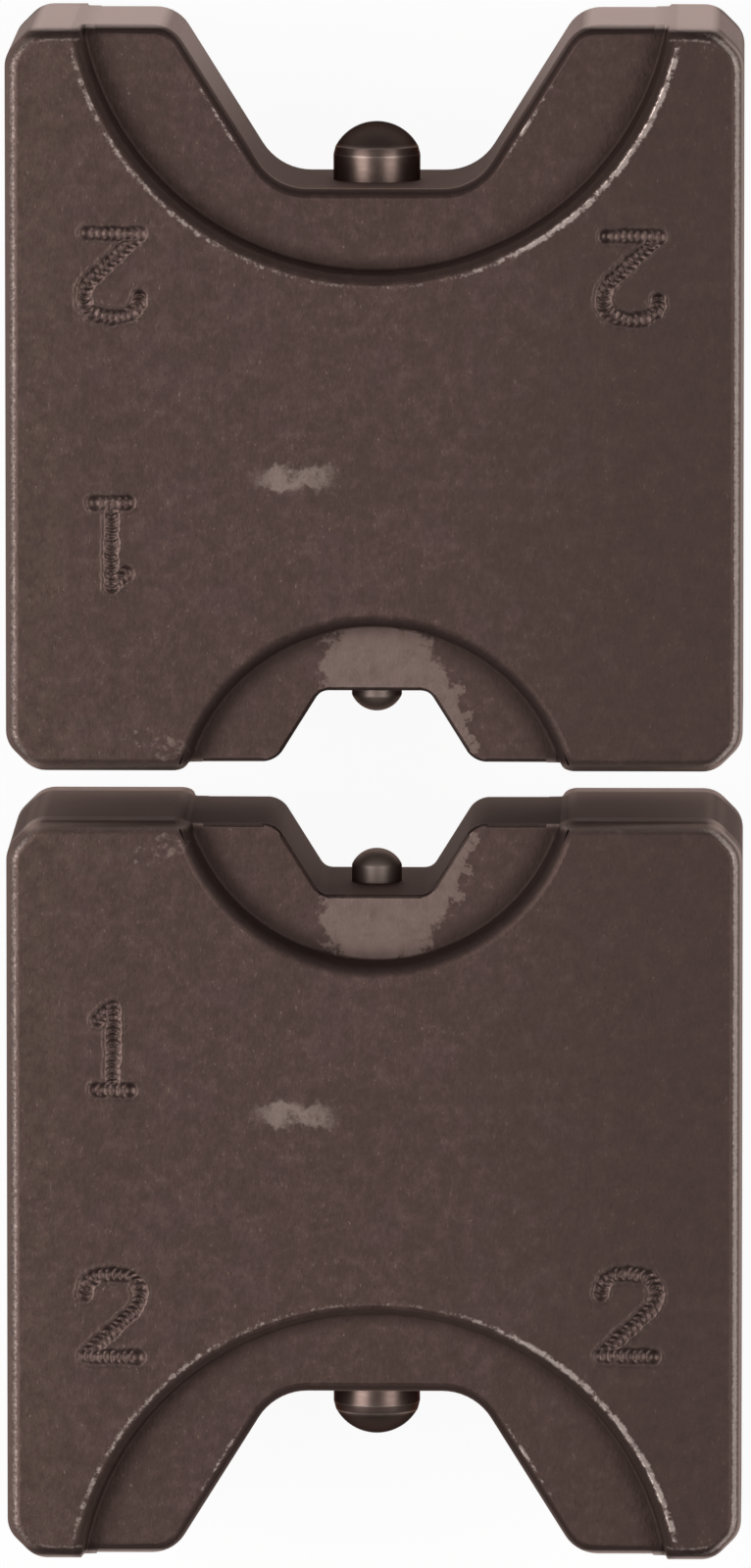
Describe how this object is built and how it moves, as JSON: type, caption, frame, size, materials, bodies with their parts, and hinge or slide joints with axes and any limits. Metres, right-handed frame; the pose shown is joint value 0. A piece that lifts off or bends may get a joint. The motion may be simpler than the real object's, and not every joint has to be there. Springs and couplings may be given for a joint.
{
  "type": "crimping die pair",
  "caption": "Pair of reversible steel crimping die halves with half-hexagon nests at both ends and a domed indenter pin in each nest.",
  "frame": {"origin": "midway between the two halves, on the plane that their back faces rest on", "axes": "+Z from the back faces to the front faces, +Y along the closing stroke from the lower half to the upper half, +X across the halves"},
  "size_m": [0.038, 0.0796, 0.016],
  "materials": {
    "die_steel": "dark brown black oxide, satin, edges worn bright",
    "indenter_steel": "black oxide over a turned and polished dome"
  },
  "bodies": {
    "lower_die": {"lower_die_block": "die_steel", "lower_large_indenter": "indenter_steel", "lower_small_indenter": "indenter_steel"},
    "upper_die": {"upper_die_block": "die_steel", "upper_large_indenter": "indenter_steel", "upper_small_indenter": "indenter_steel"}
  },
  "joints": [
    {"name": "die_closing", "type": "slide", "parent": "lower_die", "child": "upper_die", "axis": [0, 1, 0], "range_m": [-0.0026, 0.0194]}
  ]
}
